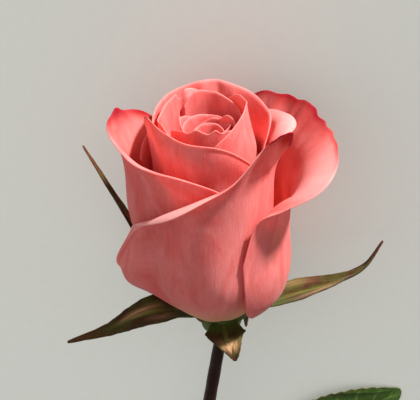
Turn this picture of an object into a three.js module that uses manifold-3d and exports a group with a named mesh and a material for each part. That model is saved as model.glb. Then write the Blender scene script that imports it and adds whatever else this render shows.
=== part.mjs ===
// A cut hybrid-tea rose: a half-open bloom of nested petals on its hip, five sepals, and a
// trimmed stem with prickles and one leaf, lying on its back petals, its leaf and its cut end.
//
// Millimetres. The bloom and the stem are drawn in the bloom's own frame: +z up its axis from the
// petals' seat, -y the face it shows, +x to that face's right. Azimuths are in degrees from the
// face, positive to the right. The rose is then laid down along +X, face up, beside its leaf.
import * as THREE from "three";
import { mergeVertices } from "three/addons/utils/BufferGeometryUtils.js";
import Module from "manifold-3d";

const wasm = await Module();
wasm.setup();
const { Manifold, Mesh: SolidMesh } = wasm;

// ---------------------------------------------------------------- driving dimensions
const petalThickness = 0.4;
const petalCount = 22; // layers in the bloom, 1 at the heart
const clearance = 0.3; // between pieces that grow together on the real flower

const seatRadius = 1.2; // radius of the heart's own seat, on a dome on top of the hip
const seatStep = 0.3; // each layer is seated this much further out
const seatGap = 0.2; // between one layer and the next at their seats
const bellyHeight = 21; // height of the bloom's widest point
const bellyRadius = 2.3; // belly radius before the first layer
const bellyGap = 0.54; // between one layer and the next at the belly
const bellyRoundness = 1.9; // 2 is an ellipse
const throatHeight = 54; // height at which the layers reach their throat radius
const throatRadius = 1.9; // throat radius of the first layer
const throatGap = 0.6; // between one layer and the next at the throat
const heartLayers = 8; // the tight layers in the middle
const heartGap = 0.6; // extra room between the heart and the rest
const clawShare = 0.22; // width of a petal's claw as a share of its full spread
const clawLength = 0.5; // share of the petal's length over which the claw widens
const clawThickness = 0.22; // thickness at the claw's foot
const sway = 2.2; // the seat sits this far to the right of the bloom's axis
const swayHeight = 22; // height over which the bloom straightens

const sepalThickness = 0.6;
const sepalWidth = 10; // at the widest place
const hipRadius = 6.2;
const hipHeight = 10;
const stemRadius = 1.9; // under the hip
const stemEndRadius = 2.3; // at the cut
const stemLength = 140;
const leafDistance = 96; // down the stem from the hip to the leaf
const prickleLength = 5;
const leafletThickness = 0.5;
const leafletLength = 46; // the leaflet at the tip of a leaf
const leafletWidth = 28;
const petioleRadius = 0.9;

const degrees = Math.PI / 180;

// ---------------------------------------------------------------- curves
// Cubic through evenly spaced values, at t from 0 to 1.
function through(values, t) {
  const last = values.length - 1;
  const i = Math.min(last - 1, Math.floor(t * last));
  const f = t * last - i;
  const at = (k) => values[Math.max(0, Math.min(last, k))];
  const [p0, p1, p2, p3] = [at(i - 1), at(i), at(i + 1), at(i + 2)];
  const m1 = i === 0 ? p2 - p1 : (p2 - p0) / 2;
  const m2 = i === last - 1 ? p2 - p1 : (p3 - p1) / 2;
  const f2 = f * f;
  const f3 = f2 * f;
  return (2 * f3 - 3 * f2 + 1) * p1 + (f3 - 2 * f2 + f) * m1 + (3 * f2 - 2 * f3) * p2 + (f3 - f2) * m2;
}

const pointThrough = (points, t) =>
  new THREE.Vector3(...[0, 1, 2].map((n) => through(points.map((p) => p[n]), t)));

const smooth = (t) => t * t * (3 - 2 * t);
const hill = (x, centre, halfWidth) => smooth(Math.max(0, 1 - Math.abs(x - centre) / halfWidth));

// Where a layer is seated, and its radius at the belly and the throat.
const seatHeight = (layer) => (clawThickness + seatGap) * (petalCount - layer);
const seatAt = (layer) => seatRadius + seatStep * layer;
const bellyAt = (layer) => bellyRadius + (petalThickness + bellyGap) * layer;
const throatAt = (layer) =>
  throatRadius + (petalThickness + throatGap) * (layer - 1) + (layer > heartLayers ? heartGap : 0);
const swayAt = (height) => {
  const above = Math.max(0, height - seatHeight(1)) / swayHeight;
  return sway * (1 - Math.min(1, above)) ** 2;
};

// The nested body the petals of one layer follow: a rounded belly, then a throat.
function bodyRadius(layer, height) {
  const seat = seatAt(layer);
  const belly = bellyAt(layer);
  if (height < bellyHeight) {
    const x = Math.max(0, (height - seatHeight(layer)) / (bellyHeight - seatHeight(layer)));
    return seat + (belly - seat) * (1 - (1 - x) ** bellyRoundness) ** (1 / bellyRoundness);
  }
  const x = Math.min(1, (height - bellyHeight) / (throatHeight - bellyHeight));
  return belly + (throatAt(layer) - belly) * smooth(x);
}

// Points [radius, height] up one rib of a petal: along the body, then a curve out to its rim.
function rib(layer, rimHeight, flare, lean, bend) {
  const steps = 24;
  const points = [];
  const start = seatHeight(layer);
  const turn = Math.max(start + 2, rimHeight - bend);
  for (let i = 0; i <= steps; i++) {
    const h = start + (turn - start) * (i / steps) ** 2;
    points.push([bodyRadius(layer, h), h]);
  }
  const rimRadius = bodyRadius(layer, rimHeight) + flare;
  const [r0, h0] = points[steps];
  const [rb, hb] = points[steps - 1];
  const step = Math.hypot(r0 - rb, h0 - hb);
  const reach = 0.42 * Math.hypot(rimRadius - r0, rimHeight - h0);
  const [r1, h1] = [r0 + ((r0 - rb) / step) * reach, h0 + ((h0 - hb) / step) * reach];
  const r2 = rimRadius - Math.sin(lean * degrees) * reach;
  const h2 = rimHeight - Math.cos(lean * degrees) * reach;
  for (let i = 1; i <= steps; i++) {
    const t = i / steps;
    const [a, b, c, d] = [(1 - t) ** 3, 3 * t * (1 - t) ** 2, 3 * t * t * (1 - t), t ** 3];
    points.push([a * r0 + b * r1 + c * r2 + d * rimRadius, a * h0 + b * h1 + c * h2 + d * rimHeight]);
  }
  return points;
}

// The same line at `rows` + 1 points, a little closer together near the seat.
const rowSpacing = 1.25;
function resample(points, rows) {
  const along = [0];
  for (let i = 1; i < points.length; i++) {
    const [a, b] = [points[i - 1], points[i]];
    along.push(along[i - 1] + Math.hypot(b[0] - a[0], b[1] - a[1]));
  }
  const out = [];
  let k = 1;
  for (let j = 0; j <= rows; j++) {
    const s = along[along.length - 1] * (j / rows) ** rowSpacing;
    while (k < points.length - 1 && along[k] < s) k++;
    const f = Math.min(1, (s - along[k - 1]) / (along[k] - along[k - 1]));
    out.push([0, 1].map((n) => points[k - 1][n] + (points[k][n] - points[k - 1][n]) * f));
  }
  return out;
}

// ---------------------------------------------------------------- solids
// A closed solid from a grid of points: the sheet thickened half each way along its normals.
function thicken(grid, thicknessOf) {
  const rows = grid.length;
  const columns = grid[0].length;
  const positions = [];
  for (const side of [-0.5, 0.5]) {
    for (let i = 0; i < rows; i++) {
      for (let j = 0; j < columns; j++) {
        const along = grid[Math.min(rows - 1, i + 1)][j].clone().sub(grid[Math.max(0, i - 1)][j]);
        const across = grid[i][Math.min(columns - 1, j + 1)].clone().sub(grid[i][Math.max(0, j - 1)]);
        const normal = across.cross(along).normalize();
        const offset = side * thicknessOf(i / (rows - 1), j / (columns - 1));
        positions.push(...grid[i][j].clone().addScaledVector(normal, offset));
      }
    }
  }
  const at = (side, i, j) => side * rows * columns + i * columns + j;
  const faces = [];
  const quad = (a, b, c, d) => faces.push(a, b, c, a, c, d);
  for (let i = 0; i < rows - 1; i++) {
    for (let j = 0; j < columns - 1; j++) {
      quad(at(1, i, j), at(1, i, j + 1), at(1, i + 1, j + 1), at(1, i + 1, j));
      quad(at(0, i, j), at(0, i + 1, j), at(0, i + 1, j + 1), at(0, i, j + 1));
    }
    quad(at(0, i, 0), at(1, i, 0), at(1, i + 1, 0), at(0, i + 1, 0));
    const e = columns - 1;
    quad(at(1, i, e), at(0, i, e), at(0, i + 1, e), at(1, i + 1, e));
  }
  for (let j = 0; j < columns - 1; j++) {
    const e = rows - 1;
    quad(at(0, 0, j), at(0, 0, j + 1), at(1, 0, j + 1), at(1, 0, j));
    quad(at(0, e, j), at(1, e, j), at(1, e, j + 1), at(0, e, j + 1));
  }
  const geometry = new THREE.BufferGeometry();
  geometry.setAttribute("position", new THREE.Float32BufferAttribute(positions, 3));
  geometry.setIndex(faces);
  return geometry;
}

// A closed round bar along a line of points, with a radius at each.
function bar(points, radii, sides = 8) {
  const positions = [];
  const faces = [];
  const count = points.length;
  const level = new THREE.Vector3(0, 1, 0);
  points.forEach((p, i) => {
    const tangent = points[Math.min(count - 1, i + 1)].clone().sub(points[Math.max(0, i - 1)]);
    const a = new THREE.Vector3().crossVectors(tangent, level).normalize();
    const b = new THREE.Vector3().crossVectors(tangent, a).normalize();
    for (let k = 0; k < sides; k++) {
      const turn = (2 * Math.PI * k) / sides;
      const q = p.clone().addScaledVector(a, radii[i] * Math.cos(turn));
      positions.push(...q.addScaledVector(b, radii[i] * Math.sin(turn)));
    }
  });
  for (let i = 0; i < count - 1; i++) {
    for (let k = 0; k < sides; k++) {
      const [a, b] = [i * sides + k, i * sides + ((k + 1) % sides)];
      faces.push(a, b, b + sides, a, b + sides, a + sides);
    }
  }
  for (let k = 1; k < sides - 1; k++) {
    faces.push(0, k + 1, k);
    const top = (count - 1) * sides;
    faces.push(top, top + k, top + k + 1);
  }
  const geometry = new THREE.BufferGeometry();
  geometry.setAttribute("position", new THREE.Float32BufferAttribute(positions, 3));
  geometry.setIndex(faces);
  return geometry;
}

function named(name, geometry, color, roughness = 0.6) {
  geometry.computeVertexNormals();
  const material = new THREE.MeshStandardMaterial({ color, roughness, metalness: 0 });
  const mesh = new THREE.Mesh(geometry, material);
  mesh.name = name;
  return mesh;
}

// ---------------------------------------------------------------- petals
// A petal is a fan of ribs, each [azimuth, rim height, flare, lean, bend]: flare is how far the
// rim stands out from the body, lean the rim's direction in degrees outwards from upright, and
// bend the height over which the rib leaves the body. Each dent, [across, along, half width across,
// half width along, push], swells the petal outwards round one place; both places run 0 to 1.
function petal({ name, layer, ribs, dents = [], columns = 8, rows = 7 }) {
  const centre = (ribs[0][0] + ribs[ribs.length - 1][0]) / 2;
  const grid = Array.from({ length: rows + 1 }, () => []);
  for (let j = 0; j <= columns; j++) {
    const [azimuth, ...shape] = [0, 1, 2, 3, 4].map((n) => through(ribs.map((r) => r[n]), j / columns));
    resample(rib(layer, ...shape), rows).forEach(([radius, h], i) => {
      const along = (i / rows) ** rowSpacing;
      const r = dents.reduce(
        (sum, [x, y, wide, deep, push]) => sum + push * hill(j / columns, x, wide) * hill(along, y, deep),
        radius,
      );
      const widening = Math.sin((Math.PI / 2) * Math.min(1, i / rows / clawLength));
      const share = clawShare + (1 - clawShare) * widening;
      const a = (centre + (azimuth - centre) * share) * degrees;
      grid[i].push(new THREE.Vector3(r * Math.sin(a) + swayAt(h), -r * Math.cos(a), h));
    });
  }
  const thickness = (along) =>
    clawThickness + (petalThickness - clawThickness) * Math.min(1, along / clawLength);
  return named(name, thicken(grid, thickness), 0xf08078);
}

// A plain cupped petal: an even rim that drops towards both edges.
function cupped(name, layer, centre, halfSpread, height, drop, flare = 0, lean = 5) {
  const ribs = [-1, -0.6, 0, 0.6, 1].map((u) => [
    centre + halfSpread * u,
    height - drop * u * u,
    flare,
    lean,
    12,
  ]);
  return { name, layer, ribs, rows: layer > heartLayers ? 7 : 6 };
}

const petals = [
  cupped("heart_petal_1", 1, 200, 130, 55, 1),
  cupped("heart_petal_2", 2, 20, 110, 57, 2),
  cupped("heart_petal_3", 3, 175, 105, 57.4, 1.5, 0.3),
  {
    name: "heart_petal_4",
    layer: 4,
    ribs: [
      [-20, 56.5, 0, 5, 12],
      [20, 57.8, 0, 5, 12],
      [60, 58.6, 0.4, 5, 12],
      [92, 58.7, 0.9, 5, 12],
      [118, 58, 0.8, 5, 12],
      [140, 56.6, 0.3, 5, 12],
    ],
  },
  cupped("heart_petal_5", 5, -30, 75, 58, 2),
  {
    name: "heart_petal_6",
    layer: 6,
    ribs: [
      [35, 57, 0, 5, 12],
      [65, 58.6, 0.1, 5, 12],
      [95, 59.5, 0, 5, 12],
      [128, 59.9, -0.45, 5, 12],
      [150, 58.4, -0.45, 5, 12],
      [170, 58.1, -0.45, 5, 12],
      [195, 56.4, -0.45, 5, 12],
      [225, 54.4, -0.45, 5, 12],
    ],
  },
  cupped("heart_petal_7", 7, -160, 80, 59, 2, -0.8),
  cupped("heart_petal_8", 8, -95, 55, 60.8, 3, -1.2),
  {
    name: "inner_petal_front",
    layer: 9,
    ribs: [
      [-82, 58, -0.5, 0, 12],
      [-62, 60.3, 0, 0, 12],
      [-36, 61.6, 0.3, 0, 12],
      [-8, 62, 0.3, 0, 12],
      [20, 61.8, 0.3, 0, 12],
      [44, 61.5, 0, 0, 12],
      [64, 60.5, 0, 0, 12],
    ],
  },
  {
    name: "inner_petal_back_right",
    layer: 10,
    ribs: [
      [90, 58.5, -2.2, -5, 14],
      [112, 60, -2, 0, 14],
      [132, 61, -1.2, 5, 14],
      [152, 62.3, -0.4, 6, 12],
      [174, 63.6, 0.2, 6, 12],
      [196, 64, 0.3, 6, 12],
      [214, 60, 0.2, 6, 12],
    ],
  },
  {
    name: "inner_petal_back_left",
    layer: 11,
    ribs: [
      [-185, 61, 0, 0, 12],
      [-160, 64.5, 0.5, 8, 12],
      [-132, 63.6, 0.9, 8, 12],
      [-103, 60.8, 1, 5, 12],
      [-70, 61.6, 0.8, 0, 12],
      [-45, 58, 0, 0, 12],
    ],
  },
  {
    name: "inner_petal_right",
    layer: 12,
    ribs: [
      [-5, 56, 0.6, 0, 14],
      [10, 60, 0, -5, 14],
      [40, 63.6, -1.9, -10, 18],
      [75, 65.6, -3.2, -10, 20],
      [110, 64.6, -2.9, -5, 20],
      [140, 63.6, -1.6, 0, 18],
      [160, 60, -0.6, 5, 14],
    ],
  },
  {
    name: "back_petal_high",
    layer: 13,
    columns: 12,
    ribs: [
      [62, 50, 0.2, 0, 12],
      [88, 58.5, 1.6, 15, 12],
      [118, 60.8, 2.6, 20, 12],
      [146, 63.4, 2.2, 20, 12],
      [180, 64.6, 1.7, 12, 12],
      [214, 63.2, 1.7, 8, 12],
      [246, 60.6, 1.3, 0, 12],
      [272, 57, 0.2, 0, 12],
    ],
  },
  {
    name: "front_petal_high",
    layer: 14,
    columns: 10,
    ribs: [
      [-94, 57, 1, 0, 12],
      [-70, 64.6, 1.5, 10, 12],
      [-45, 62.9, 1, -5, 12],
      [-20, 61.2, 1, -8, 12],
      [8, 60, 1, -8, 12],
      [36, 54.5, 1, -3, 12],
      [60, 46, 0.2, 0, 12],
    ],
  },
  {
    name: "right_petal_inner",
    layer: 15,
    ribs: [
      [38, 48, 0.3, 10, 14],
      [60, 56, 2.2, 30, 14],
      [85, 60.3, 5.6, 100, 14],
      [110, 58.7, 5.4, 90, 14],
      [135, 56, 3, 40, 14],
      [155, 50, 0.3, 10, 14],
    ],
  },
  cupped("back_petal_left_inner", 16, -155, 62, 55, 7, 1, 15),
  {
    name: "left_petal",
    layer: 17,
    columns: 12,
    rows: 8,
    ribs: [
      [-140, 52, 0.4, 15, 14],
      [-119, 59, 3.2, 15, 18],
      [-98, 61.2, 7, 25, 22],
      [-80, 59.6, 8, 35, 24],
      [-64, 54.6, 4.2, 40, 18],
      [-43, 53.2, 2, 15, 10],
      [-21, 52.8, 1.6, 5, 10],
      [3, 49.7, 1.4, 0, 10],
      [22, 44, 0.8, 0, 10],
    ],
    dents: [[0.32, 0.62, 0.3, 0.42, 4.8]],
  },
  {
    name: "back_petal_right",
    layer: 18,
    ribs: [
      [112, 42, 0.3, 10, 14],
      [140, 48, 2, 40, 16],
      [168, 51, 5, 75, 18],
      [198, 48, 5, 60, 18],
      [228, 42, 0.8, 20, 14],
    ],
  },
  {
    name: "front_petal",
    layer: 19,
    columns: 14,
    rows: 9,
    ribs: [
      [-112, 7.5, 5, 40, 6],
      [-101, 9.8, 8.6, 40, 8],
      [-89, 16, 8.4, 20, 14],
      [-75, 28, 3.4, -14, 24],
      [-60, 34.5, 2.6, -5, 28],
      [-43, 39.8, 2.2, 60, 7],
      [-24, 45.3, 2.2, 75, 7],
      [-5, 49.8, 2, 50, 7],
      [13, 53.2, 1.6, 15, 8],
      [28.5, 59.6, 2.2, 15, 9],
      [38.5, 62.8, 4.2, 30, 12],
      [47, 66, 7.6, 45, 16],
      [56, 59.5, 4.6, 40, 14],
    ],
    dents: [[0.14, 0.55, 0.24, 0.42, 4.2]],
  },
  {
    name: "back_petal_left",
    layer: 20,
    ribs: [
      [164, 36, 0.4, 10, 14],
      [181, 42, 4, 60, 18],
      [200, 44, 6, 85, 20],
      [218, 40, 4, 50, 18],
      [235, 32, 0.4, 0, 12],
    ],
  },
  {
    name: "right_petal",
    layer: 21,
    columns: 15,
    rows: 10,
    ribs: [
      [21, 26, 0.4, 0, 10],
      [32, 39, 0.4, 10, 10],
      [45, 43.5, 5, 110, 14],
      [57, 47.5, 11, 95, 20],
      [70, 51, 12.8, 85, 24],
      [88, 53.6, 11.6, 70, 26],
      [104, 55.8, 10, 55, 26],
      [120, 57.4, 8.6, 40, 26],
      [138, 58.2, 6.3, 30, 24],
      [158, 55, 4.4, 15, 20],
    ],
  },
  {
    name: "back_petal_low",
    layer: 22,
    ribs: [
      [140, 27, 0.2, 0, 12],
      [160, 35, 5.4, 70, 16],
      [182, 38, 3.4, 60, 16],
      [204, 36, 5.4, 70, 16],
      [226, 27, 0.2, 0, 12],
    ],
  },
];

const bloom = new THREE.Group();
for (const shape of petals) bloom.add(petal(shape));

// ---------------------------------------------------------------- hip, sepals and stem
// The hip is a dome whose top steps down under the petals' feet, on a rounded cup.
const hipTop = seatHeight(1);
const domeFoot = seatAt(petalCount);
const hipDrop = clearance + clawThickness / 2;
const hipProfile = [
  [0, -hipHeight],
  [stemRadius * 1.05, -hipHeight],
  [hipRadius * 0.62, -hipHeight * 0.86],
  [hipRadius * 0.93, -hipHeight * 0.62],
  [hipRadius, -hipHeight * 0.42],
  [hipRadius * 1.05, -hipHeight * 0.28],
  [domeFoot, -2],
  [domeFoot, -hipDrop],
  [seatAt(1), hipTop - hipDrop],
  [0, hipTop - hipDrop],
].map(([r, h]) => new THREE.Vector2(r, h));
const hip = new THREE.LatheGeometry(hipProfile, 16);
hip.rotateX(Math.PI / 2);
hip.translate(sway, 0, 0);
bloom.add(named("hip", mergeVertices(hip, 1e-4), 0x5c6b2e));

// A sepal is a ribbon along a line of points, each [distance out from its foot, height, drift to
// one side], twisted by `turn` degrees from foot to tip, its edges raised by `fold` of its width.
function sepal({ name, azimuth, line, turn, width = sepalWidth, fold = 0.25 }) {
  const rows = 9;
  const columns = 4;
  const out = new THREE.Vector3(Math.sin(azimuth * degrees), -Math.cos(azimuth * degrees), 0);
  const aside = new THREE.Vector3(-out.y, out.x, 0);
  const foot = domeFoot + clearance + sepalThickness / 2;
  const points = line.map(([r, h, drift = 0]) => [
    sway + out.x * (foot + r) + aside.x * drift,
    out.y * (foot + r) + aside.y * drift,
    h,
  ]);
  const grid = [];
  for (let i = 0; i <= rows; i++) {
    const t = i / rows;
    const centre = pointThrough(points, t);
    const tangent = pointThrough(points, Math.min(1, t + 0.02)).sub(
      pointThrough(points, Math.max(0, t - 0.02)),
    );
    const across = aside.clone().applyAxisAngle(tangent.normalize(), turn * smooth(t) * degrees);
    const up = new THREE.Vector3().crossVectors(tangent, across).normalize();
    const half = (width / 2) * (t < 0.3 ? 0.62 + 1.27 * t : 1 - ((t - 0.3) / 0.7) ** 1.1 * 0.93);
    const row = [];
    for (let j = 0; j <= columns; j++) {
      const u = (2 * j) / columns - 1;
      const edge = centre.clone().addScaledVector(across, half * u);
      row.push(edge.addScaledVector(up, 2 * fold * half * u * u));
    }
    grid.push(row);
  }
  return named(name, thicken(grid, () => sepalThickness), 0x6f6a2c);
}

const sepals = [
  sepal({
    name: "sepal_right",
    azimuth: 97,
    line: [[0, -1.4], [10, 0.4], [20.5, 2.7], [27.5, 4.8], [35, 8.7], [40, 17.3]],
    turn: -20,
    width: 12.5,
    fold: 0.15,
  }),
  sepal({
    name: "sepal_left",
    azimuth: -80,
    line: [[0, -1.4], [6.2, 0.6], [12.6, 0.6], [19, -1.3], [25.5, -3.7], [37.5, -6.2]],
    turn: -50,
    width: 12.5,
    fold: 0.12,
  }),
  sepal({
    name: "sepal_front",
    azimuth: 5,
    line: [[0, -1.4], [3, -1.6], [6, -1.9], [8.5, -2.8, 0.8], [10, -4.4, 1.6], [10.4, -6.4, 2]],
    turn: 10,
    width: 12,
    fold: 0.1,
  }),
  sepal({
    name: "sepal_back_left",
    azimuth: -126,
    line: [
      [0, -1.3],
      [8, -1.2],
      [15, 3.2],
      [19, 12, 1],
      [22.3, 21.5, 3.5],
      [28, 32.6, 5.6],
      [34.6, 44.3, 7.2],
    ],
    turn: 12,
    width: 7,
    fold: 0.25,
  }),
  sepal({
    name: "sepal_back_right",
    azimuth: 150,
    line: [[0, -1.4], [3, -3], [5, -7], [6.5, -12.5], [7.5, -18]],
    turn: 10,
    width: 8,
  }),
];
for (const piece of sepals) bloom.add(piece);

// The stem's middle line, from under the hip down to the cut.
const stemTop = -hipHeight - clearance;
const stemLine = [
  [sway, 0, stemTop],
  [sway - 5.5, 0, stemTop - stemLength * 0.25],
  [sway - 9.5, 0, stemTop - stemLength * 0.5],
  [sway - 12, 0, stemTop - stemLength * 0.75],
  [sway - 13, 0, stemTop - stemLength],
];
const stemRadiusAt = (t) => stemRadius + (stemEndRadius - stemRadius) * t;
const stemSteps = [...Array(13).keys()].map((i) => i / 12);
const stemPoints = stemSteps.map((t) => pointThrough(stemLine, t));
bloom.add(named("stem", bar(stemPoints, stemSteps.map(stemRadiusAt), 10), 0x3a1414));

// Prickles point down the stem: [share of the stem's length from the hip, azimuth].
const prickles = [
  [0.3, -60],
  [0.42, 75],
  [0.55, -20],
  [0.7, 35],
  [0.86, -95],
];
prickles.forEach(([t, azimuth], i) => {
  const out = new THREE.Vector3(Math.sin(azimuth * degrees), -Math.cos(azimuth * degrees), 0);
  const root = pointThrough(stemLine, t).addScaledVector(out, stemRadiusAt(t) + clearance);
  const line = [0, 0.3, 0.65, 1].map((s) =>
    root
      .clone()
      .addScaledVector(out, prickleLength * 0.8 * s)
      .add(new THREE.Vector3(0, 0, -prickleLength * 0.45 * s * s)),
  );
  bloom.add(named("prickle_" + (i + 1), bar(line, [1.3, 0.85, 0.45, 0.12], 6), 0x7a3a30));
});

// ---------------------------------------------------------------- laid down
// The bloom's axis turns to +X and its face to +Z; the bloom end then lowers until the cut end
// and the back petals reach the ground together.
const laid = new THREE.Matrix4().makeBasis(
  new THREE.Vector3(0, -1, 0),
  new THREE.Vector3(0, 0, -1),
  new THREE.Vector3(1, 0, 0),
);

function lowest(pieces) {
  const p = new THREE.Vector3();
  let low = Infinity;
  for (const piece of pieces) {
    const at = piece.geometry.attributes.position;
    for (let i = 0; i < at.count; i++) {
      low = Math.min(low, p.fromBufferAttribute(at, i).applyMatrix4(laid).z);
    }
  }
  return low;
}

const stem = bloom.children.filter((piece) => piece.name === "stem");
const backPetals = bloom.children.filter((piece) => piece.name.startsWith("back_petal"));
for (let pass = 0; pass < 4; pass++) {
  const tilt = Math.atan((lowest(backPetals) - lowest(stem)) / (stemLength + 50));
  laid.premultiply(new THREE.Matrix4().makeRotationY(tilt));
}
laid.premultiply(new THREE.Matrix4().makeTranslation(0, 0, -lowest(bloom.children)));

const rose = new THREE.Group();
for (const piece of [...bloom.children]) {
  piece.geometry.applyMatrix4(laid);
  piece.geometry.computeVertexNormals();
  rose.add(piece);
}

// ---------------------------------------------------------------- leaf, on the ground
// One leaf of five leaflets springs from the lower stem and lies beside it.
const leafShare = leafDistance / stemLength;
const leafRoot = pointThrough(stemLine, leafShare).applyMatrix4(laid);
leafRoot.y -= stemRadiusAt(leafShare) + petioleRadius + clearance;
const petioleLine = [
  leafRoot,
  new THREE.Vector3(leafRoot.x + 11, leafRoot.y - 6.5, 4.6),
  new THREE.Vector3(leafRoot.x + 25.5, leafRoot.y - 14.5, 2.8),
  new THREE.Vector3(leafRoot.x + 37.5, leafRoot.y - 25.8, 1.9),
].map((p) => p.toArray());
const petioleSteps = [...Array(9).keys()].map((i) => i / 8);
const petioleRadii = petioleSteps.map((t) => petioleRadius * (1 - 0.3 * t));
const petioleShape = bar(petioleSteps.map((t) => pointThrough(petioleLine, t)), petioleRadii, 8);
rose.add(named("petiole", petioleShape, 0x55692c));

// [share of the petiole, heading, length] in degrees from +X, turning left; lengths and widths
// as shares of the leaflet at the tip.
const leaflets = [
  [1, -60, 1],
  [0.72, 32, 0.74],
  [0.72, -112, 0.76],
  [0.36, 50, 0.58],
  [0.36, -126, 0.58],
];
leaflets.forEach(([share, heading, size], i) => {
  const rows = 8;
  const columns = 4;
  const length = leafletLength * size;
  const along = new THREE.Vector3(Math.cos(heading * degrees), Math.sin(heading * degrees), 0);
  const across = new THREE.Vector3(-along.y, along.x, 0);
  const start = pointThrough(petioleLine, share);
  const gap = petioleRadius + clearance + (share < 1 ? 0.4 : 0);
  const foot = leafletThickness / 2;
  const grid = [];
  for (let r = 0; r <= rows; r++) {
    const t = r / rows;
    const half = 0.5 + (leafletWidth / 2) * size * Math.sin(Math.PI * t ** 0.8) ** 0.8 * (1 - 0.1 * t);
    const height = foot + (start.z - foot) * (1 - smooth(Math.min(1, t * 1.3)));
    const middle = start.clone().addScaledVector(along, gap + length * t);
    const row = [];
    for (let c = 0; c <= columns; c++) {
      const u = (2 * c) / columns - 1;
      const q = middle.clone().addScaledVector(across, half * u);
      q.z = height + half * 0.16 * Math.abs(u) + 0.9 * Math.sin(Math.PI * t);
      row.push(q);
    }
    grid.push(row);
  }
  rose.add(named("leaflet_" + (i + 1), thicken(grid, () => leafletThickness), 0x3f5a22));
});

// The origin is on the ground under the middle of the whole rose.
const box = new THREE.Box3().setFromObject(rose);
const middle = box.getCenter(new THREE.Vector3());
for (const piece of rose.children) piece.geometry.translate(-middle.x, -middle.y, -box.min.z);

export default rose;
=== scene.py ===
"""A cut hybrid-tea rose lying face up: petals, sepals, hip, prickly stem and one leaf.

Lengths are written in millimetres and turned to metres where a piece is made. The bloom and the
stem are drawn in the bloom's own frame: +z up its axis from the petals' seat, -y the face it
shows, +x to that face's right. Azimuths are in degrees from the face, positive to the right.
"""
import math

import bpy
from mathutils import Matrix, Vector


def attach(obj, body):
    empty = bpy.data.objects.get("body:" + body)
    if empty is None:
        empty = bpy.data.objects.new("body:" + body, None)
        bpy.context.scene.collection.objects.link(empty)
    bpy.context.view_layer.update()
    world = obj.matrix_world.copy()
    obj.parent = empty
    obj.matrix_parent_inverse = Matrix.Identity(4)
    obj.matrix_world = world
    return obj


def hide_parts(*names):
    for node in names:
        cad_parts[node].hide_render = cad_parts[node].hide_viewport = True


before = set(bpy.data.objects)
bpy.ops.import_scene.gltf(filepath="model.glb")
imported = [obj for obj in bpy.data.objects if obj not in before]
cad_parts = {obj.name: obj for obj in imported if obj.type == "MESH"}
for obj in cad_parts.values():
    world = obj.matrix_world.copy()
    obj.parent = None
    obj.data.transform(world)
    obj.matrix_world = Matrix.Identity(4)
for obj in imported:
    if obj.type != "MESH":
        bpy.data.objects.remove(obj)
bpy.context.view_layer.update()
bpy.ops.object.select_all(action="DESELECT")

MM = 0.001

# ------------------------------------------------------------------ how the rose lies
TILT = 7.737  # degrees the stem end hangs below the bloom's axis
SEAT = Vector((41.537, 8.927, 22.403))  # the petals' seat

LAY = (
    Matrix.Translation(SEAT)
    @ Matrix.Rotation(math.radians(-TILT), 4, "Y")
    @ Matrix(((0, 0, 1, 0), (-1, 0, 0, 0), (0, -1, 0, 0), (0, 0, 0, 1)))
)


def lay(x, y, z):
    """A point of the bloom's frame, in metres where the rose lies."""
    return (LAY @ Vector((x, y, z))) * MM


# ------------------------------------------------------------------ sizes of the bloom
PETALS = 22  # layers, 1 at the heart
SEAT_RADIUS, SEAT_STEP, SEAT_FALL = 1.2, 0.3, 0.42
BELLY_HEIGHT, BELLY_RADIUS, BELLY_STEP, BELLY_ROUNDNESS = 21, 2.3, 0.94, 1.9
THROAT_HEIGHT, THROAT_RADIUS, THROAT_STEP = 54, 1.9, 1.0
HEART_LAYERS, HEART_GAP = 8, 0.6
CLAW_SHARE, CLAW_LENGTH = 0.22, 0.5
SWAY, SWAY_HEIGHT = 2.2, 22
PETAL_THICKNESS = 0.34

HIP_RADIUS, HIP_HEIGHT, HIP_DROP = 6.2, 10, 0.41
SEPAL_THICKNESS = 0.5
STEM_RADIUS, STEM_END_RADIUS, STEM_LENGTH = 1.9, 2.3, 140
LEAF_DISTANCE = 96  # down the stem from the hip
PRICKLE_LENGTH = 5
LEAFLET_THICKNESS, LEAFLET_LENGTH, LEAFLET_WIDTH = 0.4, 46, 28
PETIOLE_RADIUS = 0.9
GAP = 0.3  # between pieces that grow together

# ------------------------------------------------------------------ how finely it is shaped
RIB_STEPS, LIP_STEPS = 30, 8  # steps up a rib's body, again up its flare, and round its lip
RIM_CROWDING = 1.4  # above 1, a petal's rows stand closer together near its rim
PETAL_MESH, HEART_MESH = (72, 48), (48, 30)  # columns and rows of a petal
SEPAL_MESH, LEAFLET_MESH = (20, 60), (44, 90)
CUT_RINGS = 3  # rings that make the flat end of a stalk


# ------------------------------------------------------------------ curves
def through(values, t):
    """Cubic through evenly spaced values, at t from 0 to 1."""
    last = len(values) - 1
    i = min(last - 1, int(t * last))
    f = t * last - i
    p1, p2 = values[i], values[i + 1]
    p0, p3 = values[max(0, i - 1)], values[min(last, i + 2)]
    m1 = p2 - p1 if i == 0 else (p2 - p0) / 2
    m2 = p2 - p1 if i == last - 1 else (p3 - p1) / 2
    return (
        (2 * f**3 - 3 * f**2 + 1) * p1
        + (f**3 - 2 * f**2 + f) * m1
        + (3 * f**2 - 2 * f**3) * p2
        + (f**3 - f**2) * m2
    )


def point_through(points, t):
    return Vector([through([p[n] for p in points], t) for n in range(3)])


def smooth(t):
    t = max(0.0, min(1.0, t))
    return t * t * (3 - 2 * t)


def hill(x, centre, width):
    """1 at the centre, falling smoothly to 0 at `width` either side."""
    return smooth(1 - abs(x - centre) / width)


def outward(azimuth):
    """The level direction in the bloom's frame at an azimuth."""
    return Vector((math.sin(math.radians(azimuth)), -math.cos(math.radians(azimuth)), 0))


def seat_height(layer):
    return SEAT_FALL * (PETALS - layer)


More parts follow.
